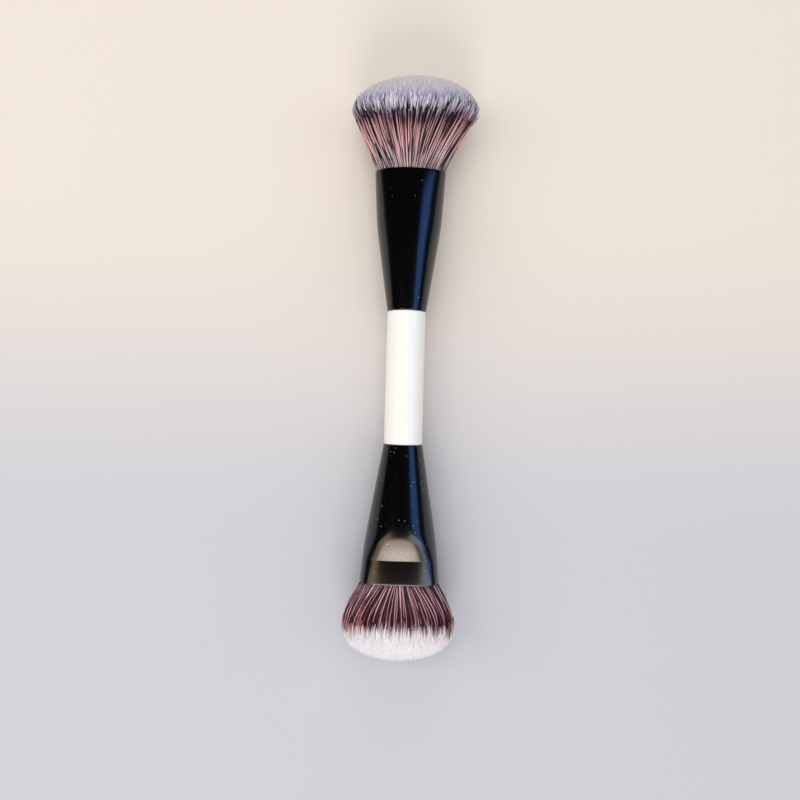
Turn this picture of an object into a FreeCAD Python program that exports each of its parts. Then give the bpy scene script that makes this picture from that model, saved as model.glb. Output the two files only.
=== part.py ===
import FreeCAD, Part
import math
import os

# A double ended makeup brush that lies on a table, in millimetres.
# Y runs along the brush, with +Y towards the powder end. Z is up, and the table is z = 0.
# The origin is on the table, under the middle of the brush.

# Handle: one turned rod, with a thinner tenon at each end that plugs into a ferrule
handle_length = 36.2
handle_radius = 5.25
handle_edge_bevel = 0.2
tenon_length = 12.0
tenon_nose_bevel = 0.8

# Both ferrules: thin tubes, round at the neck, where they meet the handle
ferrule_wall = 0.5
neck_step = 0.05  # how far the neck stands out past the handle
neck_bevel = 0.15
lip_bevel = 0.15  # at the mouth, where the bristles come out
bore_clearance = 0.05  # round everything that sits inside a ferrule

# Powder ferrule: each broad side is pressed along one crowned slope, so that its mouth is oval
powder_ferrule_length = 38.0
powder_body_length = 15.0  # from the shoulder, where the taper eases, to the mouth
powder_shoulder_radius = 8.8
powder_mouth_half_width = 9.65
powder_press_length = 20.0  # from where the pressed slope leaves the cone to the mouth
powder_mouth_half_thickness = 5.9
powder_press_crown = 14.0  # radius of the pressed side, across the brush
powder_press_round = 3.0  # between the pressed side and the round sides

# Foundation ferrule: wider, with a steep ramp and a level pad pressed into each broad side
foundation_ferrule_length = 37.4
foundation_body_length = 10.4
foundation_shoulder_radius = 9.87
foundation_mouth_half_width = 10.85
foundation_press_length = 14.4
foundation_mouth_half_thickness = 6.3
foundation_pad_length = 6.6
foundation_press_round = 2.0

# Bristles: each tuft flares from the mouth to a rim and ends in a dome
powder_rim_height = 16.6  # from the mouth to the rim, along the brush
powder_rim_half_width = 17.35
powder_rim_half_thickness = 10.2
powder_flare_curve = 0.0  # 0 is a straight flare, 1 a rounded one
powder_dome_height = 9.1
powder_dome_fullness = 2.0  # 2 is half an ellipse, more is blunter
foundation_rim_height = 12.4
foundation_rim_half_width = 15.5
foundation_rim_half_thickness = 9.6
foundation_flare_curve = 1.0
foundation_dome_height = 8.6
foundation_dome_fullness = 2.2
rest_height = 9.3  # from the table to the brush's axis: the table presses the tufts flat
root_depth = 5.0  # how far the bristles reach into a ferrule
lock_count = 50  # ridges round each tuft
lock_depth = 0.1  # of a groove between two locks, as a share of the tuft's radius
tip_unevenness = 0.6  # how far one lock's rim may stand above the next

# Cured glue that holds the bristles' roots
glue_depth = 6.0

# How finely the bristles are built
facet_tolerance = 0.001
flare_rings = 5
dome_rings = 4

neck_radius = handle_radius + neck_step
tenon_radius = neck_radius - ferrule_wall - bore_clearance
foundation_length = foundation_ferrule_length + foundation_rim_height + foundation_dome_height
powder_length = powder_ferrule_length + powder_rim_height + powder_dome_height
brush_length = foundation_length + handle_length + powder_length
foundation_seam = -brush_length / 2 + foundation_length
powder_seam = foundation_seam + handle_length
along_brush = FreeCAD.Vector(0, 1, 0)


def uneven(number):
    """A share from 0 to 1 that looks random but is the same on every build."""
    golden_step = (math.sqrt(5) - 1) / 2
    return (number * golden_step) % 1


class Ferrule:
    """The outer form of a ferrule. Places are distances from its neck, along the brush."""

    def __init__(self, length, body_length, shoulder_radius, mouth_radius):
        self.length = length
        self.shoulder = length - body_length
        self.shoulder_radius = shoulder_radius
        self.mouth_radius = mouth_radius

    def press(self, press_length, mouth_half_thickness, pad_length, press_round):
        """Presses each broad side along a slope, and level over the last pad."""
        self.press_start = self.length - press_length
        self.mouth_half_thickness = mouth_half_thickness
        self.crease = self.length - pad_length
        self.press_round = press_round
        self.crown = 0  # a pressed side is flat across the brush

    def radius(self, place):
        """The radius of the round tube before it is pressed."""
        if place < self.shoulder:
            taper = (self.shoulder_radius - neck_radius) / self.shoulder
            return neck_radius + taper * place
        taper = (self.mouth_radius - self.shoulder_radius) / (self.length - self.shoulder)
        return self.shoulder_radius + taper * (place - self.shoulder)

    def pressed_height(self, place):
        """The height of the pressed slope, or of its level pad, above the brush's axis."""
        rise = self.radius(self.press_start) - self.mouth_half_thickness
        left = max(0, self.crease - place) / (self.crease - self.press_start)
        return self.mouth_half_thickness + rise * left

    def reach(self, place, inset, angle):
        """From the axis to the skin at an angle, where the section is pressed. Drawn in by an inset."""
        radius = self.radius(place) - inset
        pressed = self.pressed_height(place) - inset
        bend = self.press_round - inset
        across = abs(math.cos(angle))
        up = abs(math.sin(angle))
        if self.crown:
            crown = self.crown - inset
            middle_z = pressed - crown
            bend_z = (middle_z**2 - (crown - bend) ** 2 + (radius - bend) ** 2) / (2 * middle_z)
        else:
            bend_z = pressed - bend
        bend_x = math.sqrt((radius - bend) ** 2 - bend_z**2)
        if self.crown:
            top_x = bend_x * crown / (crown - bend)
            top_z = middle_z + (bend_z - middle_z) * crown / (crown - bend)
        else:
            top_x, top_z = bend_x, pressed
        if top_z * across <= top_x * up:
            if self.crown:
                return middle_z * up + math.sqrt(crown**2 - (middle_z * across) ** 2)
            return pressed / up
        if bend_x * up <= bend_z * across:
            return radius
        middle = bend_x * across + bend_z * up
        return middle + math.sqrt(middle**2 + bend**2 - (radius - bend) ** 2)


def powder_form():
    form = Ferrule(
        powder_ferrule_length, powder_body_length, powder_shoulder_radius, powder_mouth_half_width
    )
    form.press(powder_press_length, powder_mouth_half_thickness, 0, powder_press_round)
    form.crown = powder_press_crown
    return form


def foundation_form():
    form = Ferrule(
        foundation_ferrule_length,
        foundation_body_length,
        foundation_shoulder_radius,
        foundation_mouth_half_width,
    )
    form.press(
        foundation_press_length,
        foundation_mouth_half_thickness,
        foundation_pad_length,
        foundation_press_round,
    )
    return form


def round_tube(form, inset):
    """The ferrule as a solid before pressing: two cones that meet at the shoulder."""
    neck = neck_radius - inset
    shoulder = form.shoulder_radius - inset
    mouth = form.mouth_radius - inset
    base = FreeCAD.Vector(0, 0, 0)
    middle = FreeCAD.Vector(0, form.shoulder, 0)
    cone = Part.makeCone(neck, shoulder, form.shoulder, base, along_brush)
    body = Part.makeCone(shoulder, mouth, form.length - form.shoulder, middle, along_brush)
    return cone.fuse(body)


def crowned_side(form, inset, side):
    """What a crowned press leaves: a cylinder under its slope. Side is 1 or -1."""
    start = FreeCAD.Vector(0, form.press_start, side * form.radius(form.press_start))
    mouth = FreeCAD.Vector(0, form.length, side * form.mouth_half_thickness)
    slope = (mouth - start).normalize()
    inward = FreeCAD.Vector(0, slope.z, -slope.y) * side
    axis_start = start + inward * form.crown - slope * form.length
    return Part.makeCylinder(form.crown - inset, 3 * form.length, axis_start, slope)


def press_tool(form, inset, side):
    """What a flat press cuts off: everything past the slope and the pad. Side is 1 or -1."""
    reach = 2 * form.mouth_radius
    past_mouth = form.length + ferrule_wall
    outline = [
        (0, form.pressed_height(0) - inset),
        (form.crease, form.mouth_half_thickness - inset),
        (past_mouth, form.mouth_half_thickness - inset),
        (past_mouth, reach),
        (0, reach),
    ]
    corners = [FreeCAD.Vector(-reach, place, side * height) for place, height in outline]
    face = Part.Face(Part.makePolygon(corners + corners[:1]))
    return face.extrude(FreeCAD.Vector(2 * reach, 0, 0))


def is_press_edge(shape, edge):
    """True where a pressed face meets the round tube."""
    faces = shape.ancestorsOfType(edge, Part.Face)
    cones = [face for face in faces if isinstance(face.Surface, Part.Cone)]
    end_faces = [face for face in faces if face.BoundBox.YLength < ferrule_wall]
    return len(cones) == 1 and len(faces) == 2 and not end_faces


def core(form, inset):
    """The solid inside a ferrule's skin, drawn in by an inset."""
    pressed = round_tube(form, inset)
    for side in (1, -1):
        if form.crown:
            pressed = pressed.common(crowned_side(form, inset, side))
        else:
            pressed = pressed.cut(press_tool(form, inset, side))
    edges = [edge for edge in pressed.Edges if is_press_edge(pressed, edge)]
    return pressed.makeFillet(form.press_round - inset, edges)


def make_ferrule(form):
    """A ferrule with its neck at y = 0 and its mouth towards +Y."""
    tube = core(form, 0).cut(core(form, ferrule_wall))
    lip = [e for e in tube.Edges if e.BoundBox.YMin > form.length - lip_bevel]
    neck_rims = [e for e in tube.Edges if e.BoundBox.YMax < neck_bevel and e.isClosed()]
    outer_rim = max(neck_rims, key=lambda edge: edge.Length)
    return tube.makeChamfer(lip_bevel, lip).makeChamfer(neck_bevel, [outer_rim])


def make_glue(form):
    """The cured glue behind the bristles' roots, across the whole bore."""
    start = form.length - root_depth - glue_depth
    width = 4 * form.mouth_radius
    corner = FreeCAD.Vector(-width / 2, start, -width / 2)
    slab = Part.makeBox(width, glue_depth, width, corner)
    return core(form, ferrule_wall + bore_clearance).common(slab)


def bevelled_rod(radius, length, bevel):
    """A rod along Y with its middle at the origin."""
    start = FreeCAD.Vector(0, -length / 2, 0)
    rod = Part.makeCylinder(radius, length, start, along_brush)
    return rod.makeChamfer(bevel, [edge for edge in rod.Edges if edge.isClosed()])


def make_handle():
    """The handle, with its middle at y = 0."""
    grip = bevelled_rod(handle_radius, handle_length, handle_edge_bevel)
    tenons = bevelled_rod(tenon_radius, handle_length + 2 * tenon_length, tenon_nose_bevel)
    return grip.fuse(tenons).removeSplitter()


class Tuft:
    """The form of a bundle of bristles. Heights are distances from its ferrule's mouth."""

    def __init__(self, form, rim_height, rim_half_width, rim_half_thickness, dome_height):
        self.form = form
        self.rim_height = rim_height
        self.rim_half_width = rim_half_width
        self.rim_half_thickness = rim_half_thickness
        self.dome_height = dome_height
        self.flare_curve = 0
        self.dome_fullness = 2

    def bore_point(self, place, angle):
        reach = self.form.reach(place, ferrule_wall + bore_clearance, angle)
        return reach * math.cos(angle), reach * math.sin(angle)

    def mouth_point(self, angle):
        return self.bore_point(self.form.length, angle)

    def root_point(self, angle):
        """No thicker than the mouth, through which the bristles were pushed in."""
        x, z = self.bore_point(self.form.length - root_depth, angle)
        mouth_z = self.mouth_point(angle)[1]
        return x, math.copysign(min(abs(z), abs(mouth_z)), z)

    def flare_point(self, share, angle):
        """A point of the flared side. The share is 0 at the mouth and 1 at the rim."""
        spread = share + self.flare_curve * (math.sin(math.pi / 2 * share) - share)
        mouth_x, mouth_z = self.mouth_point(angle)
        x = mouth_x + (self.rim_half_width * math.cos(angle) - mouth_x) * spread
        z = mouth_z + (self.rim_half_thickness * math.sin(angle) - mouth_z) * spread
        return x, z

    def ring(self, height, point, unevenness):
        """A closed ring of ridges and grooves, as a list of points."""
        corners = []
        for number in range(2 * lock_count):
            x, z = point(math.pi * number / lock_count)
            is_pressed = z < -rest_height
            is_groove = number % 2 == 1 and not is_pressed
            depth = lock_depth * (0.5 + uneven(number)) if is_groove else 0
            resting_z = -rest_height if is_pressed else z * (1 - depth)
            rise = unevenness * (uneven(number // 2) - 0.5)
            place = self.form.length + height + rise
            corners.append(FreeCAD.Vector(x * (1 - depth), place, resting_z))
        return corners

    def flare_ring(self, share):
        return self.ring(
            self.rim_height * share,
            lambda angle: self.flare_point(share, angle),
            tip_unevenness * share,
        )

    def dome_ring(self, turn):
        """A ring of the dome, by its turn from the rim in degrees."""
        power = 2 / self.dome_fullness
        shrink = math.cos(math.radians(turn)) ** power
        rise = self.dome_height * math.sin(math.radians(turn)) ** power
        return self.ring(
            self.rim_height + rise,
            lambda angle: [shrink * value for value in self.flare_point(1, angle)],
            tip_unevenness * shrink,
        )

    def rings(self):
        """From the roots in the ferrule to the last ring below the dome's top."""
        flare = [self.flare_ring(number / flare_rings) for number in range(1, flare_rings + 1)]
        turns = [90 * number / (dome_rings + 1) for number in range(1, dome_rings + 1)]
        roots = self.ring(-root_depth, self.root_point, 0)
        mouth = self.ring(0, self.mouth_point, 0)
        return [roots, mouth, *flare, *[self.dome_ring(turn) for turn in turns]]


def powder_tuft(form):
    tuft = Tuft(
        form,
        powder_rim_height,
        powder_rim_half_width,
        powder_rim_half_thickness,
        powder_dome_height,
    )
    tuft.flare_curve = powder_flare_curve
    tuft.dome_fullness = powder_dome_fullness
    return tuft


def foundation_tuft(form):
    tuft = Tuft(
        form,
        foundation_rim_height,
        foundation_rim_half_width,
        foundation_rim_half_thickness,
        foundation_dome_height,
    )
    tuft.flare_curve = foundation_flare_curve
    tuft.dome_fullness = foundation_dome_fullness
    return tuft


def make_bristles(tuft):
    """The tuft as one solid of locks, with flat facets between its rings."""
    rings = tuft.rings()
    size = len(rings[0])
    points = [corner for ring in rings for corner in ring]
    facets = []
    for first in range(0, len(points) - size, size):
        for number in range(size):
            here, beside = first + number, first + (number + 1) % size
            facets.append((here, beside, beside + size))
            facets.append((here, beside + size, here + size))
    root_middle, dome_top = len(points), len(points) + 1
    points.append(FreeCAD.Vector(0, tuft.form.length - root_depth, 0))
    points.append(FreeCAD.Vector(0, tuft.form.length + tuft.rim_height + tuft.dome_height, 0))
    last = root_middle - size
    for number in range(size):
        beside = (number + 1) % size
        facets.append((root_middle, beside, number))
        facets.append((dome_top, last + number, last + beside))
    shell = Part.Shape()
    shell.makeShapeFromMesh((points, facets), facet_tolerance)
    return Part.makeSolid(Part.Shell(shell.Faces))


def put_in_place(shape, seam, turn):
    """Moves a piece from its own origin to a seam of the brush, turned about Z in degrees."""
    up = FreeCAD.Vector(0, 0, 1)
    place = FreeCAD.Vector(0, seam, rest_height)
    shape.Placement = FreeCAD.Placement(place, FreeCAD.Rotation(up, turn))
    return shape


def make_end(form, tuft, seam, turn):
    """The three pieces of one end: its ferrule, its bristles and its glue."""
    return [
        put_in_place(make_ferrule(form), seam, turn),
        put_in_place(make_bristles(tuft), seam, turn),
        put_in_place(make_glue(form), seam, turn),
    ]


def make_brush():
    powder = powder_form()
    foundation = foundation_form()
    powder_end = make_end(powder, powder_tuft(powder), powder_seam, 0)
    foundation_end = make_end(foundation, foundation_tuft(foundation), foundation_seam, 180)
    handle = put_in_place(make_handle(), (powder_seam + foundation_seam) / 2, 0)
    return {
        "handle": handle,
        "powder_ferrule": powder_end[0],
        "powder_bristles": powder_end[1],
        "powder_glue": powder_end[2],
        "foundation_ferrule": foundation_end[0],
        "foundation_bristles": foundation_end[1],
        "foundation_glue": foundation_end[2],
    }


os.makedirs("parts", exist_ok=True)
for name, shape in make_brush().items():
    shape.exportStep("parts/%s.step" % name)
    print(name, "valid" if shape.isValid() else "NOT VALID", round(shape.Volume, 1), "mm3")
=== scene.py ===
import bpy
import math
import numpy as np
from mathutils import Matrix, Vector


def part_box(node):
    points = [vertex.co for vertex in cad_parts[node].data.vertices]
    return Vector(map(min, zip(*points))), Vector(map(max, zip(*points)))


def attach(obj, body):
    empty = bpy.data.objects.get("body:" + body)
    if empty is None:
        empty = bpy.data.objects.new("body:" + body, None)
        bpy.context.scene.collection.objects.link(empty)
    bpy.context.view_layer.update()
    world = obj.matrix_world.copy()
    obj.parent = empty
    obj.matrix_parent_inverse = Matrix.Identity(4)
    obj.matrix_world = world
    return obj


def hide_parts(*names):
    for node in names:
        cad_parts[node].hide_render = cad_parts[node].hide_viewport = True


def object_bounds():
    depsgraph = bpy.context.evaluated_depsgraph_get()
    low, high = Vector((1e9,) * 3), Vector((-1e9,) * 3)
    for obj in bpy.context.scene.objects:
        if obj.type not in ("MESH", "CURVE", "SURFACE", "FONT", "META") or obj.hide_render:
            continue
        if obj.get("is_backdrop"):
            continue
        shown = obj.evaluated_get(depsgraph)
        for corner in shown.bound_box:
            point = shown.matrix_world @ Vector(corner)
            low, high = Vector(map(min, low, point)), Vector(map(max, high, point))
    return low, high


# Looks for the double ended makeup brush that lies on a table. Sizes are in millimetres, as in
# the solids, and are turned into metres where a mesh is made. Y runs along the brush, Z is up.

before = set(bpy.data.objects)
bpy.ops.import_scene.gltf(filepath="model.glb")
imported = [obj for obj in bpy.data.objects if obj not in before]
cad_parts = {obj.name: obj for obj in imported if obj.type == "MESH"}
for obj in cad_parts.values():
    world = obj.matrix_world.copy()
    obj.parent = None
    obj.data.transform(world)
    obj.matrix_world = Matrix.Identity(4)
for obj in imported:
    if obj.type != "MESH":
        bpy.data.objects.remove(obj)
cad_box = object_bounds()
MM = 0.001

# Sizes that the pieces here share with the solids
rest_height = 9.3  # from the table to the brush's axis
handle_length = 36.2
foundation_seam = -20.75  # where the handle meets the foundation ferrule, along Y
powder_seam = foundation_seam + handle_length
ferrule_wall = 0.5
neck_radius = 5.3
neck_bevel = 0.15
lip_round = 0.22

# The ferrules' skins and the glue in them
shoulder_blend = 0.12  # how softly the two cones of a ferrule meet
oval_blend = 0.2  # how softly an oval section's slope leaves the round tube
pad_fall = 0.3  # how much lower the pad is at the mouth than at the crease
first_blend = 0.5  # the corner's rounding where the pressed side starts
lip_edge = 0.08  # the bevel on the lip's inner edge
bore_start = 1.2  # from the mouth to the first ring inside
crease_shifts = (-0.12, -0.04, 0.04, 0.12)  # extra rings that keep the crease crisp
skin_facets = 192
skin_rings = 76
bore_rings = 14
glue_facets = 96
glue_rings = 14
glue_clearance = 0.05
far_apart = 60  # blends between two values, beyond which neither rounds the other
least_sine = 1e-6  # in place of 0 where a direction is level
bevel_point = (0.35, 0.3)  # a place and an inset on the rounded neck bevel, as shares of it
lip_turns = (30, 60, 90)  # degrees around the lip's rounding


def smooth_step(low, high, value):
    share = np.clip((value - low) / (high - low), 0, 1)
    return share * share * (3 - 2 * share)


def soft_least(first, second, blend):
    """The smaller of two, with the corner between them rounded off."""
    least = np.minimum(first, second)
    gap = np.minimum(np.abs(first - second) / blend, far_apart)
    return least - blend * np.log1p(np.exp(-gap))


class Ferrule:
    """A pressed tube. Places are distances from its neck, along the brush."""

    def __init__(self, length, body_length, shoulder_radius, mouth_radius):
        self.length = length
        self.shoulder = length - body_length
        self.shoulder_radius = shoulder_radius
        self.mouth_radius = mouth_radius

    def press(self, press_length, mouth_half_thickness, pad_length, bulge, corner_blend, oval):
        self.press_start = self.length - press_length
        self.mouth_half_thickness = mouth_half_thickness
        self.crease = self.length - pad_length
        self.pad_length = pad_length
        self.bulge = bulge
        self.corner_blend = corner_blend
        self.oval = oval

    def radius(self, place):
        """The round tube's radius: two cones with a soft shoulder between them."""
        neck_taper = (self.shoulder_radius - neck_radius) / self.shoulder
        body_taper = (self.mouth_radius - self.shoulder_radius) / (self.length - self.shoulder)
        from_neck = neck_radius + neck_taper * place
        from_mouth = self.mouth_radius - body_taper * (self.length - place)
        return soft_least(from_neck, from_mouth, shoulder_blend)

    def pressed_height(self, place):
        """The height of the slope or ramp, and of the pad from the crease to the mouth."""
        rise = self.radius(self.press_start) - self.mouth_half_thickness
        left = np.maximum(0, self.crease - place) / (self.crease - self.press_start)
        bulge = self.bulge * 4 * left * (1 - left) * (left < 1)
        height = self.mouth_half_thickness + rise * left + bulge
        if self.pad_length:
            along_pad = np.clip((place - self.crease) / self.pad_length, 0, 1)
            height = height + pad_fall * (1 - along_pad**2) * (place > self.crease)
            height = height + pad_fall * (place <= self.crease) * (1 - left)
        return height

    def reach(self, place, inset, angle):
        """From the axis to the skin, for arrays of places and angles."""
        radius = self.radius(place) - inset
        pressed = self.pressed_height(place) - inset
        up = np.maximum(np.abs(np.sin(angle)), least_sine)
        if self.oval:
            half_height = soft_least(pressed, radius, oval_blend)
            return 1 / np.sqrt((np.cos(angle) / radius) ** 2 + (up / half_height) ** 2)
        full = smooth_step(self.press_start, self.crease, place)
        blend = first_blend + (self.corner_blend - first_blend) * full
        return soft_least(radius, pressed / up, blend)


def powder_form():
    form = Ferrule(length=38.0, body_length=15.0, shoulder_radius=8.8, mouth_radius=9.65)
    form.press(
        press_length=20.0, mouth_half_thickness=5.9, pad_length=0, bulge=0.45, corner_blend=0,
        oval=True,
    )
    return form


def foundation_form():
    form = Ferrule(length=37.4, body_length=10.4, shoulder_radius=9.87, mouth_radius=10.85)
    form.press(
        press_length=14.4, mouth_half_thickness=6.3, pad_length=6.6, bulge=0.2, corner_blend=1.7,
        oval=False,
    )
    return form


class Place:
    """Where an end sits on the brush: its neck is at the seam, and turn is 1 or -1."""

    def __init__(self, seam, turn):
        self.seam = seam
        self.turn = turn

    def world(self, x, place, z):
        """Metres in the brush's frame."""
        return np.stack(
            [self.turn * x, self.seam + self.turn * place, z + rest_height], axis=-1
        ) * MM


powder_place = Place(powder_seam, 1)
foundation_place = Place(foundation_seam, -1)


# Meshes

def new_mesh(name, points, quads, triangles=()):
    """A smooth shaded object from arrays of points, quads and triangles."""
    points = np.asarray(points, dtype=float).reshape(-1, 3)
    quads = np.asarray(quads, dtype=np.int32).reshape(-1, 4)
    triangles = np.asarray(triangles, dtype=np.int32).reshape(-1, 3)
    mesh = bpy.data.meshes.new(name)
    mesh.vertices.add(len(points))
    mesh.vertices.foreach_set("co", points.ravel())
    corners = np.concatenate([quads.ravel(), triangles.ravel()])
    mesh.loops.add(len(corners))
    mesh.loops.foreach_set("vertex_index", corners)
    counts = np.concatenate([np.full(len(quads), 4), np.full(len(triangles), 3)])
    starts = np.concatenate([[0], np.cumsum(counts)[:-1]])
    mesh.polygons.add(len(counts))
    mesh.polygons.foreach_set("loop_start", starts.astype(np.int32))
    mesh.polygons.foreach_set("use_smooth", np.ones(len(counts), dtype=bool))
    mesh.update(calc_edges=True)
    mesh.validate()
    piece = bpy.data.objects.new(name, mesh)
    bpy.context.scene.collection.objects.link(piece)
    return piece


def paint(piece, title, values):
    """Stores one value for each point, which the materials read by its title."""
    layer = piece.data.attributes.new(title, "FLOAT", "POINT")
    layer.data.foreach_set("value", values.astype(np.float32).ravel())


def finish_piece(piece, material, slot, *replaced):
    piece.data.materials.append(material)
    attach(piece, "root")
    if replaced:
        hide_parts(*replaced)
    return piece


def full_turn(count):
    return np.linspace(0, 2 * math.pi, count, endpoint=False)


def ring_quads(ring_count, count, closed):
    """Quads between rings of points, each to the next, and the last to the first if closed."""
    here = np.arange(count)
    beside = (here + 1) % count
    quads = []
    for ring in range(ring_count if closed else ring_count - 1):
        low = ring * count
        high = (ring + 1) % ring_count * count
        quads.append(np.stack([low + here, high + here, high + beside, low + beside], axis=1))
    return np.concatenate(quads)


def capped_mesh(name, rings):
    """A closed mesh from rings of points along the brush, with a fan at each end."""
    count = len(rings[0])
    middles = np.array([rings[0].mean(axis=0), rings[-1].mean(axis=0)])
    here = np.arange(count)
    beside = (here + 1) % count
    last = (len(rings) - 1) * count
    first_middle = np.full(count, len(rings) * count)
    low_fan = np.stack([first_middle, here, beside], axis=1)
    high_fan = np.stack([first_middle + 1, last + beside, last + here], axis=1)
    return new_mesh(
        name, np.concatenate(rings + [middles]), ring_quads(len(rings), count, False),
        np.concatenate([low_fan, high_fan]),
    )


# Materials

white = (1, 1, 1)
black = (0, 0, 0)
even = (1, 1, 1)  # noise that is stretched along no axis
dust_cells = 900  # in a metre, for the Voronoi texture that spreads the dust
speck_radius = 0.06  # of a cell
speck_edge = 0.02
speck_fade = 0.25  # of the range of cells, from those with no speck to those with a full one
hair_span = 30.0  # millimetres from the mouth that the hair's colour ramps cover
cool_tint = (0.89, 0.93, 0.98)  # of the patches that vary the hair's colour
warm_tint = (1.0, 0.86, 0.82)


def new_material(name):
    material = bpy.data.materials.new(name)
    material.use_nodes = True
    nodes = material.node_tree.nodes
    return material, nodes, material.node_tree.links, nodes["Principled BSDF"]


def ramp_node(nodes, links, factor, stops):
    """Colours at positions from 0 to 1 of the factor."""
    ramp = nodes.new("ShaderNodeValToRGB")
    elements = ramp.color_ramp.elements
    while len(elements) < len(stops):
        elements.new(0.5)
    for element, (position, colour) in zip(elements, stops):
        element.position = position
        element.color = (*colour, 1)
    links.new(factor, ramp.inputs["Fac"])
    return ramp.outputs["Color"]


def mix_node(nodes, links, factor, first, second, blend="MIX"):
    """Mixes two colours, each a tuple or another node's output."""
    mix = nodes.new("ShaderNodeMix")
    mix.data_type = "RGBA"
    mix.blend_type = blend
    if factor is None:
        mix.inputs["Factor"].default_value = 1
    else:
        links.new(factor, mix.inputs["Factor"])
    for title, value in (("A", first), ("B", second)):
        target = [one for one in mix.inputs if one.name == title and one.type == "RGBA"][0]
        if isinstance(value, tuple):
            target.default_value = (*value, 1)
        else:
            links.new(value, target)
    return [one for one in mix.outputs if one.type == "RGBA"][0]


def noise_node(nodes, links, stretch, scale, detail):
    """Noise in the brush's frame, in metres, stretched per axis."""
    place = nodes.new("ShaderNodeTexCoord")
    mapping = nodes.new("ShaderNodeMapping")
    mapping.inputs["Scale"].default_value = stretch
    noise = nodes.new("ShaderNodeTexNoise")
    noise.inputs["Scale"].default_value = scale
    noise.inputs["Detail"].default_value = detail
    links.new(place.outputs["Object"], mapping.inputs["Vector"])
    links.new(mapping.outputs["Vector"], noise.inputs["Vector"])
    return noise.outputs["Fac"]


def fine_bump(nodes, links, shader, scale, strength, distance):
    """A fine grain in the surface, with its depth in metres."""
    bump = nodes.new("ShaderNodeBump")
    bump.inputs["Strength"].default_value = strength
    bump.inputs["Distance"].default_value = distance
    links.new(noise_node(nodes, links, even, scale, 2), bump.inputs["Height"])
    links.new(bump.outputs["Normal"], shader.inputs["Normal"])


def dust_specks(nodes, links, speck_from):
    """1 in the specks and 0 between them. Fewer cells have one if speck_from is higher."""
    place = nodes.new("ShaderNodeTexCoord")
    cells = nodes.new("ShaderNodeTexVoronoi")
    cells.inputs["Scale"].default_value = dust_cells
    cells.inputs["Randomness"].default_value = 1
    links.new(place.outputs["Object"], cells.inputs["Vector"])
    near = ramp_node(
        nodes, links, cells.outputs["Distance"],
        [(0.0, white), (speck_radius, white), (speck_radius + speck_edge, black)],
    )
    chosen = ramp_node(
        nodes, links, cells.outputs["Color"],
        [(speck_from, black), (speck_from + speck_fade, white)],
    )
    both = nodes.new("ShaderNodeMath")
    both.operation = "MULTIPLY"
    links.new(near, both.inputs[0])
    links.new(chosen, both.inputs[1])
    return both.outputs[0]


def black_metal(name, speck_from):
    """Black coated ferrule metal, rather glossy, with specks of dust."""
    material, nodes, links, shader = new_material(name)
    specks = dust_specks(nodes, links, speck_from)
    colour = mix_node(nodes, links, specks, (0.0015, 0.0015, 0.002), (0.9, 0.9, 0.93))
    links.new(colour, shader.inputs["Base Color"])
    rough = nodes.new("ShaderNodeMapRange")
    rough.inputs["To Min"].default_value = 0.19
    rough.inputs["To Max"].default_value = 0.24
    links.new(noise_node(nodes, links, even, 900, 4), rough.inputs["Value"])
    links.new(rough.outputs["Result"], shader.inputs["Roughness"])
    shader.inputs["IOR"].default_value = 1.52
    fine_bump(nodes, links, shader, scale=2600, strength=0.08, distance=0.00005)
    return material


def white_plastic():
    """Satin white handle plastic."""
    material, nodes, links, shader = new_material("white_satin_plastic")
    soft = noise_node(nodes, links, even, 160, 3)
    colour = mix_node(nodes, links, soft, (0.87, 0.86, 0.81), (0.915, 0.905, 0.86))
    links.new(colour, shader.inputs["Base Color"])
    shader.inputs["Roughness"].default_value = 0.38
    fine_bump(nodes, links, shader, scale=3000, strength=0.05, distance=0.00004)
    return material


def amber_glue():
    material, nodes, links, shader = new_material("cured_glue")
    soft = noise_node(nodes, links, even, 500, 3)
    colour = mix_node(nodes, links, soft, (0.62, 0.5, 0.3), (0.75, 0.66, 0.45))
    links.new(colour, shader.inputs["Base Color"])
    shader.inputs["Roughness"].default_value = 0.45
    return material


def height_share(nodes, links):
    """The height of a point of the hair above the mouth, as a share of hair_span."""
    along = nodes.new("ShaderNodeAttribute")
    along.attribute_name = "along"
    share = nodes.new("ShaderNodeMath")
    share.operation = "DIVIDE"
    share.inputs[1].default_value = hair_span
    links.new(along.outputs["Fac"], share.inputs[0])
    return share.outputs[0]


def height_ramp(nodes, links, share, stops):
    """Colours at heights above the mouth."""
    return ramp_node(nodes, links, share, [(at / hair_span, colour) for at, colour in stops])


def hair_material(name, gap_shade_and_tip_stops, strand_stops, tint_until, plain_from):
    """Hair whose colour runs along each strand, where each strand has its own tone.

    Patches tint it up to one height, and no longer from another one on."""
    material, nodes, links, shader = new_material(name)
    tone = nodes.new("ShaderNodeAttribute")
    tone.attribute_name = "tone"
    share = height_share(nodes, links)
    # The gap ramp paints the shade between strands; the strand ramp's pale streaks below the dark
    # band are partly painted highlights
    gap = height_ramp(nodes, links, share, gap_shade_and_tip_stops)
    strand = height_ramp(nodes, links, share, strand_stops)
    colour = mix_node(nodes, links, tone.outputs["Fac"], gap, strand)
    patches = noise_node(nodes, links, (1, 0.25, 1), 260, 1)
    tint = ramp_node(nodes, links, patches, [(0.35, cool_tint), (0.65, warm_tint)])
    tinted = mix_node(nodes, links, None, colour, tint, "MULTIPLY")
    plain = height_ramp(nodes, links, share, [(tint_until, black), (plain_from, white)])
    whole = mix_node(nodes, links, plain, tinted, colour)
    links.new(whole, shader.inputs["Base Color"])
    shader.inputs["Roughness"].default_value = 0.42
    shader.inputs["Specular IOR Level"].default_value = 0.1
    return material


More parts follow.
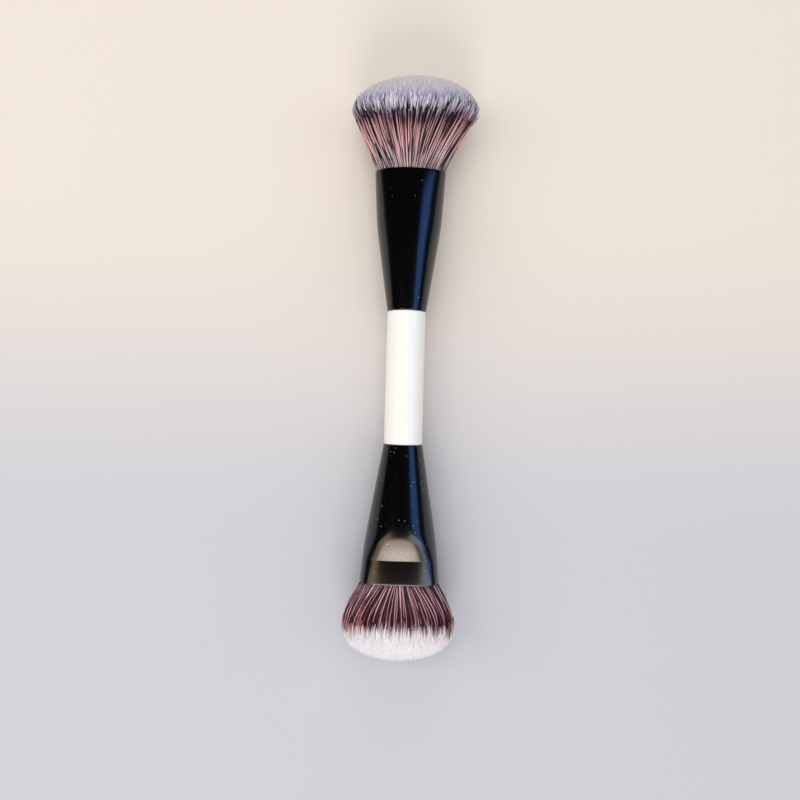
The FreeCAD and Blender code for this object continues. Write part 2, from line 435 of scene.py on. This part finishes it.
def core_shade_material(name, stops):
    """Painted shade for the depth between the outer strands, from the gap colours, which are pale
    at the tips.
    """
    material, nodes, links, shader = new_material(name)
    colour = height_ramp(nodes, links, height_share(nodes, links), stops)
    links.new(colour, shader.inputs["Base Color"])
    shader.inputs["Roughness"].default_value = 0.8
    return material


# Colours at heights above the mouth: of the gaps between strands, nearly black below the dark band
# as painted shade and pale at the tips, and of the palest strands, partly painted highlights below
# the dark band

powder_gap_shade_and_tip_colours = [
    (0.0, (0.014, 0.007, 0.007)),
    (9.0, (0.010, 0.004, 0.005)),
    (12.5, (0.005, 0.003, 0.007)),
    (15.2, (0.012, 0.009, 0.022)),
    (17.2, (0.40, 0.36, 0.50)),
    (19.8, (0.78, 0.74, 0.86)),
    (24.5, (0.92, 0.87, 0.91)),
]
powder_strand_colours = [
    (0.0, (0.95, 0.72, 0.73)),
    (5.0, (0.92, 0.60, 0.62)),
    (10.0, (0.82, 0.46, 0.49)),
    (12.7, (0.24, 0.14, 0.20)),
    (14.8, (0.84, 0.80, 0.95)),
    (18.5, (0.90, 0.86, 0.96)),
    (24.5, (0.94, 0.90, 0.93)),
]
foundation_gap_shade_and_tip_colours = [
    (0.0, (0.028, 0.005, 0.008)),
    (5.0, (0.024, 0.004, 0.007)),
    (9.8, (0.009, 0.002, 0.005)),
    (10.7, (0.32, 0.25, 0.28)),
    (12.1, (0.78, 0.71, 0.75)),
    (15.5, (0.98, 0.97, 1.0)),
]
foundation_strand_colours = [
    (0.0, (0.89, 0.59, 0.64)),
    (5.0, (0.77, 0.42, 0.47)),
    (8.6, (0.56, 0.24, 0.28)),
    (10.2, (0.85, 0.70, 0.72)),
    (13.0, (0.95, 0.91, 0.94)),
    (16.0, (0.99, 0.98, 1.0)),
]


# Ferrules and glue

def section_ring(form, place, at, inset, angles):
    """The points of a ferrule's section at a place, an inset inside its outer face."""
    along = np.full(len(angles), float(at))
    reach = form.reach(along, inset, angles)
    return place.world(reach * np.cos(angles), along, reach * np.sin(angles))


def skin_stations(form):
    """Places and insets of the skin's rings, from the neck to the lip and back inside."""
    crease = [form.crease + shift for shift in crease_shifts if form.pad_length]
    outside = np.linspace(neck_bevel, form.length - lip_round, skin_rings)
    along, inwards = bevel_point
    stations = [(0, neck_bevel), (neck_bevel * along, neck_bevel * inwards)]
    stations += [(at, 0) for at in np.unique(np.concatenate([outside, crease]))]
    for turn in lip_turns:
        forward = lip_round * math.sin(math.radians(turn))
        inset = lip_round * (1 - math.cos(math.radians(turn)))
        stations.append((form.length - lip_round + forward, inset))
    stations.append((form.length, ferrule_wall - lip_edge))
    stations.append((form.length - lip_edge, ferrule_wall))
    inside = np.linspace(form.length - bore_start, 0, bore_rings)
    return stations + [(at, ferrule_wall) for at in inside]


def ferrule_piece(name, form, place):
    """The whole tube as one closed skin: outside, rounded lip, inside and neck."""
    angles = full_turn(skin_facets)
    rings = [section_ring(form, place, at, inset, angles) for at, inset in skin_stations(form)]
    return new_mesh(name, np.concatenate(rings), ring_quads(len(rings), skin_facets, True))


def glue_piece(name, form, place, node, material):
    """The cured glue that fills the bore behind the hair's roots."""
    low, high = (np.asarray(corner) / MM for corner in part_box(node))
    ends = sorted(place.turn * (end - place.seam) for end in (low[1], high[1]))
    inset = ferrule_wall + glue_clearance
    angles = full_turn(glue_facets)
    rings = [
        section_ring(form, place, at, inset, angles)
        for at in np.linspace(ends[0], ends[1], glue_rings)
    ]
    return finish_piece(capped_mesh(name, rings), material, "glue", node)


# Tufts

root_height = -3.0  # where the outer strands start, inside the ferrule
root_clearance = 0.1  # from the bore to the hair
tip_strand_length = 3.5  # of the short strands that fill the dome
sink = 0.015  # how far the darkest strands lie behind the palest, as a share of the radius
held_height = 4  # above the mouth, up to where the ferrule holds the strands in order
stray_share = 0.015  # of the strands that stand away from the rest
stray_reach = (0.015, 0.045)  # how far they stand away, as shares of the radius
stray_span = 1.2  # rim heights over which they draw away
lean_span = 1.5  # rim heights over which a tuft's lean grows
table_gap = 0.2  # from the table to a strand's middle where the hair rests on it
tip_unevenness = 0.3
lock_span = 1.25  # rim heights over which a lock draws its strands together
strand_drift = 0.008  # how far a tip strays from its place, as a share of the radius
strand_turn = 0.012  # how far a tip turns around the axis, in radians
spot_turn = 0.02  # how far a strand's place is turned from an even spread, in radians
sway_limit = 0.012  # how far a strand sways to its sides, in radians
wave_pitch = (10, 24)  # the lengths of a strand's waves
width_share = (0.75, 1.25)  # a strand's width beside its layer's
taper_places = [0, 0.6, 1]  # from a strand's root to its tip
taper_widths = [1.0, 0.95, 0.45]
strand_shift = 0.7  # how unevenly high the colours change, for a strand and for a lock
lock_shift = 0.45
# The nearly black strands paint the shade in the gaps between strands
gap_shade_tones = 0.08  # the palest of the nearly black strands
brown_tones = (0.15, 0.5)
pale_tones = (0.75, 1.0)
tip_tones = (0.6, 1.0)
pale_tip_share = 0.45
outer_rho = (0.93, 1.0)  # the shares of the radius that a layer lies between
pale_rho = (0.985, 1.0)
whole_rho = (0.0, 1.0)
second_turn = 0.37  # from the first outer layer to the second, in radians
core_facets = 128
core_start = -4  # the core's lowest height, inside the ferrule
core_share = 0.945  # of the tuft's width
core_root_share = 0.98  # of the core's width, inside the ferrule
core_dome_drop = 0.9  # how much lower the core's dome is than the tuft's
core_rim_drop = 0.5
core_rings = 12
core_turns = (6, 84)  # degrees over the dome, from the rim towards the top
ripple = 0.006  # how uneven the core is, as a share of its width
ripple_counts = (31, 53)


class Tuft:
    """The form that a tuft's strands fill. Heights are distances from its ferrule's mouth."""

    def __init__(self, form, place, rim_height, rim_half_width, rim_half_thickness):
        self.form = form
        self.place = place
        self.rim_height = rim_height
        self.rim_half_width = rim_half_width
        self.rim_half_thickness = rim_half_thickness

    def dome(self, height, fullness, flare_curve, lean):
        self.dome_height = height
        self.fullness = fullness
        self.flare_curve = flare_curve
        self.lean = lean

    def colours(self, edge_shift, brown_share):
        """How much higher they change at the edges, and the share of half pale strands."""
        self.edge_shift = edge_shift
        self.brown_share = brown_share

    def mouth(self, angle):
        """A point just inside the ferrule's mouth."""
        length = np.full(np.shape(angle), self.form.length)
        reach = self.form.reach(length, ferrule_wall + root_clearance, angle)
        return reach * np.cos(angle), reach * np.sin(angle)

    def section(self, height, angle):
        """A point of the outline at a height, for arrays of both."""
        share = np.clip(height / self.rim_height, 0, 1)
        spread = share + self.flare_curve * (np.sin(math.pi / 2 * share) - share)
        mouth_x, mouth_z = self.mouth(angle)
        x = mouth_x + (self.rim_half_width * np.cos(angle) - mouth_x) * spread
        z = mouth_z + (self.rim_half_thickness * np.sin(angle) - mouth_z) * spread
        return x, z

    def tip_height(self, rho):
        inner = np.clip(1 - rho**self.fullness, 0, 1)
        return self.rim_height + self.dome_height * inner ** (1 / self.fullness)

    def world(self, x, height, z):
        """Leans the tuft, and keeps it on the table."""
        share = np.clip(height / self.rim_height, 0, lean_span)
        x = x + self.lean * share**2
        z = np.maximum(z, -rest_height + table_gap)
        return self.place.world(x, self.form.length + height, z)


class Layer:
    """How one layer's strands are made: locks draw them together, and waves dive inwards."""

    def __init__(self, rings, thickness, clump, dive):
        self.rings = rings
        self.thickness = thickness
        self.clump = clump
        self.dive = dive


outer_layer = Layer(rings=12, thickness=0.31, clump=0.25, dive=0.03)
pale_layer = Layer(rings=12, thickness=0.38, clump=0.15, dive=0.03)
tip_layer = Layer(rings=4, thickness=0.32, clump=0.3, dive=0.0)


def sunflower(count, low, high, rng):
    """Points of a disc between two radii, evenly spread, as radii and angles."""
    golden = math.pi * (3 - math.sqrt(5))
    number = np.arange(count) + 0.5
    rho = (low**2 + (high**2 - low**2) * (number / count)) ** 0.5
    angle = number * golden + rng.uniform(-spot_turn, spot_turn, count)
    return rho, angle % (2 * math.pi)


def flat_points(rho, angle):
    return np.stack([rho * np.cos(angle), rho * np.sin(angle)], axis=1)


def nearest(points, centres):
    """The index of the centre nearest to each point, found for some points at a time."""
    found = np.empty(len(points), dtype=int)
    batch = 500
    for start in range(0, len(points), batch):
        part = points[start:start + batch]
        gaps = ((part[:, None, :] - centres[None, :, :]) ** 2).sum(axis=2)
        found[start:start + batch] = gaps.argmin(axis=1)
    return found


def strand_tones(count, pale_share, low, high, rng):
    """Nearly black for each strand, as painted shade between strands, or between low and high for
    a share of them.
    """
    pale = rng.uniform(0, 1, count) < pale_share
    level = rng.uniform(0, 1, count)
    return np.where(pale, low + (high - low) * level, gap_shade_tones * level)


def strand_courses(tuft, layer, flat, pull, tone, height, rng):
    """Each strand's radius and angle at each of its rings."""
    count = len(flat)
    shares = np.linspace(0, 1, layer.rings)
    gathered = np.clip(height / (tuft.rim_height * lock_span), 0, 1)
    drawn = layer.clump * np.sin(math.pi * gathered)
    moved = flat[:, None, :] + pull[:, None, :] * drawn[:, :, None]
    moved = moved + rng.normal(0, strand_drift, (count, 1, 2)) * (shares**2)[None, :, None]
    far = np.hypot(moved[..., 0], moved[..., 1])
    turn = np.arctan2(moved[..., 1], moved[..., 0])
    turn = turn + rng.normal(0, strand_turn, count)[:, None] * shares[None, :]
    phase = rng.uniform(0, 2 * math.pi, (count, 1))
    pitch = rng.uniform(*wave_pitch, (count, 1))
    cycle = 2 * math.pi * height / pitch
    wave = 0.5 + 0.5 * np.sin(phase + cycle)
    sway = rng.uniform(0, sway_limit, (count, 1)) * np.sin(2 * phase + cycle)
    turn = turn + sway * (layer.dive > 0)
    free = np.clip(height / held_height, 0, 1)
    far = far * (1 - (sink * (1 - tone)[:, None] + layer.dive * wave) * free)
    stray = (rng.uniform(0, 1, count) < stray_share) * rng.uniform(*stray_reach, count)
    far = far * (1 + stray[:, None] * np.clip(height / tuft.rim_height, 0, stray_span) ** 2)
    return far, turn


def strand_tubes(middle, thickness, rng):
    """The points of three sided tubes along the strands' middles: rings, then the tip."""
    count, rings = middle.shape[:2]
    tangent = middle[:, -1] - middle[:, 0]
    tangent /= np.linalg.norm(tangent, axis=1)[:, None]
    side = np.cross(tangent, rng.normal(0, 1, (count, 3)))
    side /= np.linalg.norm(side, axis=1)[:, None]
    other = np.cross(tangent, side)
    width = thickness * rng.uniform(*width_share, count)
    taper = np.interp(np.linspace(0, 1, rings)[:-1], taper_places, taper_widths)
    radius = width[:, None] * taper[None, :] / 2 * MM
    points = np.empty((count, 3 * (rings - 1) + 1, 3))
    for corner in range(3):
        spin = 2 * math.pi * corner / 3
        out = side * math.cos(spin) + other * math.sin(spin)
        points[:, corner:-1:3] = middle[:, :-1] + out[:, None, :] * radius[:, :, None]
    points[:, -1] = middle[:, -1]
    return points


def strand_faces(count, rings):
    """The quads and triangles of that many tubes."""
    size = 3 * (rings - 1) + 1
    quads = []
    for ring in range(rings - 2):
        for corner in range(3):
            low = 3 * ring + corner
            beside = 3 * ring + (corner + 1) % 3
            quads.append([low, beside, beside + 3, low + 3])
    last = 3 * (rings - 2)
    triangles = [[last + corner, last + (corner + 1) % 3, size - 1] for corner in range(3)]
    triangles.append([0, 2, 1])
    base = (np.arange(count) * size)[:, None, None]
    return np.array(quads)[None] + base, np.array(triangles)[None] + base


def strands_piece(name, tuft, layer, rho, angle, tone, start, lock_count, rng):
    """Strands as closed three sided tubes that taper to a point on the tuft's dome."""
    count = len(rho)
    flat = flat_points(rho, angle)
    locks = flat_points(*sunflower(lock_count, *whole_rho, rng))
    mine = nearest(flat, locks)
    shift = rng.normal(0, lock_shift, lock_count)[mine]
    tip = tuft.tip_height(rho) + rng.normal(0, tip_unevenness, count)
    height = start[:, None] + (tip - start)[:, None] * np.linspace(0, 1, layer.rings)[None, :]
    far, turn = strand_courses(tuft, layer, flat, locks[mine] - flat, tone, height, rng)
    x, z = tuft.section(height, turn)
    middle = tuft.world(x * far, height, z * far)
    points = strand_tubes(middle, layer.thickness, rng)
    piece = new_mesh(name, points, *strand_faces(count, layer.rings))
    edge = np.clip(np.abs(middle[:, -1, 0] / MM) / tuft.rim_half_width, 0, 1)
    shift = shift + rng.normal(0, strand_shift, count) - tuft.edge_shift * edge**2
    along = np.repeat(height + shift[:, None], 3, axis=1)[:, :points.shape[1]]
    paint(piece, "along", along)
    paint(piece, "tone", np.repeat(tone[:, None], points.shape[1], axis=1))
    return piece


def core_piece(name, tuft):
    """The closed mass of hair inside the outer strands."""
    angles = full_turn(core_facets)
    few, many = ripple_counts
    uneven = 1 + ripple * np.sin(angles * few) + ripple * np.sin(angles * many + 1)
    rings, heights = [], []
    top = tuft.rim_height - core_rim_drop
    for height in np.linspace(core_start, top, core_rings):
        factor = (core_share if height > 0 else core_share * core_root_share) * uneven
        x, z = tuft.section(np.full(core_facets, height), angles)
        rings.append(tuft.world(x * factor, np.full(core_facets, height), z * factor))
        heights.append(height)
    power = 2 / tuft.fullness
    rim_x, rim_z = tuft.section(np.full(core_facets, tuft.rim_height), angles)
    for turn in np.radians(np.linspace(*core_turns, core_rings)):
        rho = math.cos(turn) ** power
        height = top + (tuft.dome_height - core_dome_drop) * math.sin(turn) ** power
        x = rim_x * core_share * rho * uneven
        z = rim_z * core_share * rho * uneven
        rings.append(tuft.world(x, np.full(core_facets, height), z))
        heights.append(height)
    piece = capped_mesh(name, rings)
    values = np.concatenate([np.repeat(heights, core_facets), [heights[0], heights[-1] + 1]])
    paint(piece, "along", values)
    return piece


def make_tuft(title, tuft, hair, core, seed, outer_count, pale_count, tip_count, lock_count):
    """A core painted dark as shade, two outer layers, a few pale strands over them, and the dome's
    tips.
    """
    rng = np.random.default_rng(seed)
    slot = title + "_hair"
    finish_piece(core_piece(title + "_hair_core", tuft), core, slot, title + "_bristles")
    for number in range(2):
        rho, angle = sunflower(outer_count, *outer_rho, rng)
        angle = angle + number * second_turn
        tone = strand_tones(outer_count, tuft.brown_share, *brown_tones, rng)
        start = np.full(outer_count, root_height)
        name = "%s_hair_outer_%d" % (title, number + 1)
        piece = strands_piece(name, tuft, outer_layer, rho, angle, tone, start, lock_count, rng)
        finish_piece(piece, hair, slot)
    rho, angle = sunflower(pale_count, *pale_rho, rng)
    tone = strand_tones(pale_count, 1, *pale_tones, rng)
    start = np.full(pale_count, root_height)
    name = title + "_hair_pale"
    piece = strands_piece(name, tuft, pale_layer, rho, angle, tone, start, lock_count, rng)
    finish_piece(piece, hair, slot)
    rho, angle = sunflower(tip_count, *whole_rho, rng)
    tone = strand_tones(tip_count, pale_tip_share, *tip_tones, rng)
    start = tuft.tip_height(rho) - tip_strand_length
    name = title + "_hair_tips"
    piece = strands_piece(name, tuft, tip_layer, rho, angle, tone, start, lock_count, rng)
    finish_piece(piece, hair, slot)


def make_ferrules():
    finish_piece(
        ferrule_piece("powder_ferrule_skin", powder_form(), powder_place),
        black_metal("black_coated_metal", speck_from=0.7), "ferrule_black", "powder_ferrule",
    )
    finish_piece(
        ferrule_piece("foundation_ferrule_skin", foundation_form(), foundation_place),
        black_metal("dusty_black_coated_metal", speck_from=0.35), "ferrule_black",
        "foundation_ferrule",
    )


def make_powder_tuft():
    tuft = Tuft(
        powder_form(), powder_place, rim_height=16.6, rim_half_width=17.35, rim_half_thickness=10.2
    )
    tuft.dome(height=9.1, fullness=2.0, flare_curve=0.0, lean=0.8)
    tuft.colours(edge_shift=2.5, brown_share=0.12)
    hair = hair_material(
        "powder_hair", powder_gap_shade_and_tip_colours, powder_strand_colours, tint_until=12, plain_from=16
    )
    core = core_shade_material("powder_hair_depth_shade", powder_gap_shade_and_tip_colours)
    make_tuft(
        "powder", tuft, hair, core, seed=11, outer_count=1700, pale_count=135, tip_count=10500,
        lock_count=2400,
    )


def make_foundation_tuft():
    tuft = Tuft(
        foundation_form(), foundation_place, rim_height=12.4, rim_half_width=15.5,
        rim_half_thickness=9.6,
    )
    tuft.dome(height=8.6, fullness=2.2, flare_curve=1.0, lean=0.0)
    tuft.colours(edge_shift=2.8, brown_share=0.08)
    hair = hair_material(
        "foundation_hair", foundation_gap_shade_and_tip_colours, foundation_strand_colours, tint_until=9,
        plain_from=12,
    )
    core = core_shade_material("foundation_hair_depth_shade", foundation_gap_shade_and_tip_colours)
    make_tuft(
        "foundation", tuft, hair, core, seed=23, outer_count=1500, pale_count=86, tip_count=8500,
        lock_count=2000,
    )


def dress_handle():
    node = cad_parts["handle"]
    node.data.materials.clear()
    node.data.materials.append(white_plastic())


def make_glue():
    glue = amber_glue()
    glue_piece("powder_glue_fill", powder_form(), powder_place, "powder_glue", glue)
    glue_piece(
        "foundation_glue_fill", foundation_form(), foundation_place, "foundation_glue", glue
    )


# Floor, light and camera. Their sizes are in metres.

def make_floor():
    """A pale table with painted light: a warm patch of painted sunlight towards the powder end,
    fading into cool painted shade towards the other end.
    """
    size = 1.2
    painted_shade_end, painted_sunlight_end = -0.05, 0.05
    corners = [(-size, -size, 0), (size, -size, 0), (size, size, 0), (-size, size, 0)]
    floor = new_mesh("floor", corners, [[0, 1, 2, 3]])
    material, nodes, links, shader = new_material("pale_floor")
    place = nodes.new("ShaderNodeTexCoord")
    parts = nodes.new("ShaderNodeSeparateXYZ")
    links.new(place.outputs["Object"], parts.inputs["Vector"])
    towards = nodes.new("ShaderNodeMapRange")
    towards.interpolation_type = "SMOOTHSTEP"
    towards.inputs["From Min"].default_value = painted_shade_end
    towards.inputs["From Max"].default_value = painted_sunlight_end
    links.new(parts.outputs["Y"], towards.inputs["Value"])
    # Painted shade, cool grey, blends into painted sunlight, warm beige, along Y
    colour = mix_node(
        nodes, links, towards.outputs["Result"], (0.575, 0.575, 0.615), (0.77, 0.70, 0.625)
    )
    links.new(colour, shader.inputs["Base Color"])
    shader.inputs["Roughness"].default_value = 0.9
    shader.inputs["Specular IOR Level"].default_value = 0
    floor.data.materials.append(material)
    floor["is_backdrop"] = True


def area_light(name, size_x, size_y, radiance, colour, azimuth, from_vertical, distance,
               target=(0, 0, 0)):
    """A soft box that looks at a point, wide sideways and high upwards.

    Azimuth 0 is towards +X and 90 towards +Y. Glossy surfaces don't show it."""
    light = bpy.data.lights.new(name, "AREA")
    light.shape = "RECTANGLE"
    light.size = size_x
    light.size_y = size_y
    light.energy = radiance * math.pi * size_x * size_y
    light.color = colour
    lamp = bpy.data.objects.new(name, light)
    tilt, turn = math.radians(from_vertical), math.radians(azimuth)
    direction = Vector(
        (math.sin(tilt) * math.cos(turn), math.sin(tilt) * math.sin(turn), math.cos(tilt))
    )
    lamp.location = Vector(target) + direction * distance
    lamp.rotation_euler = direction.to_track_quat("Z", "Y").to_euler()
    lamp.visible_glossy = False
    lamp.visible_camera = False
    bpy.context.scene.collection.objects.link(lamp)
    return lamp


def reflected_light(*values):
    """An area light that only glossy surfaces show."""
    lamp = area_light(*values)
    lamp.visible_glossy = True
    lamp.visible_diffuse = False


def make_lights():
    area_light("key_left", 0.5, 0.7, 2.0, (1.0, 0.96, 0.9), 170, 46, 0.8)
    area_light("fill_right", 0.4, 0.6, 1.1, (0.94, 0.96, 1.0), 10, 50, 0.8)
    area_light("overhead", 0.5, 0.5, 1.85, (1.0, 0.98, 0.97), 90, 14, 0.8)
    area_light("top_soft", 0.5, 0.5, 1.75, (1.0, 0.98, 0.98), 90, 60, 0.8)
    area_light("front_soft", 0.6, 0.6, 5.7, (1.0, 0.98, 0.98), 270, 60, 1.1)
    reflected_light("cool_strip", 0.6, 0.24, 2.7, (0.15, 0.37, 1.0), 2, 51, 0.5)
    # Small boxes near the foundation end, for its pressed side to reflect
    pressed_side = (0, -0.056, 0.0156)
    near = 0.18
    windows = [
        ("window_low", 0.15, 0.052, 24.0, (1.0, 0.88, 0.76), 268, 62),
        ("window_high", 0.13, 0.062, 7.0, (1.0, 0.82, 0.66), 264, 44),
        ("window_left", 0.1, 0.11, 3.2, (1.0, 0.70, 0.42), 213, 40),
        ("window_right", 0.1, 0.11, 3.4, (0.92, 0.95, 1.0), 325, 40),
    ]
    for window in windows:
        reflected_light(*window, near, pressed_side)


def make_world():
    """Even light from all around, which glossy surfaces don't show."""
    world = bpy.data.worlds.new("studio")
    world.use_nodes = True
    back = world.node_tree.nodes["Background"]
    back.inputs["Color"].default_value = (0.96, 0.97, 1.0, 1)
    back.inputs["Strength"].default_value = 0.34
    world.cycles_visibility.glossy = False
    bpy.context.scene.world = world


def make_camera():
    """Straight above the brush, turned so that the brush leans as in the photograph."""
    view_height = 219.0  # above the brush's axis, in millimetres like the next two
    camera_x, camera_y = -1.147, -8.692
    roll = math.radians(1.62)
    data = bpy.data.cameras.new("camera")
    data.sensor_width = 36
    data.lens = 36.03
    data.clip_start = 0.01
    camera = bpy.data.objects.new("camera", data)
    up = Vector((-math.sin(roll), math.cos(roll), 0))
    back = Vector((0, 0, 1))
    right = up.cross(back)
    turned = Matrix((right, up, back)).transposed().to_4x4()
    turned.translation = Vector((camera_x, camera_y, view_height + rest_height)) * MM
    camera.matrix_world = turned
    bpy.context.scene.collection.objects.link(camera)
    bpy.context.scene.camera = camera


make_ferrules()
make_powder_tuft()
make_foundation_tuft()
dress_handle()
make_glue()
make_floor()
make_lights()
make_world()
make_camera()
bpy.context.scene.view_settings.view_transform = "Standard"

sizes = [[list(map(float, corner)) for corner in box] for box in (cad_box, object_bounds())]
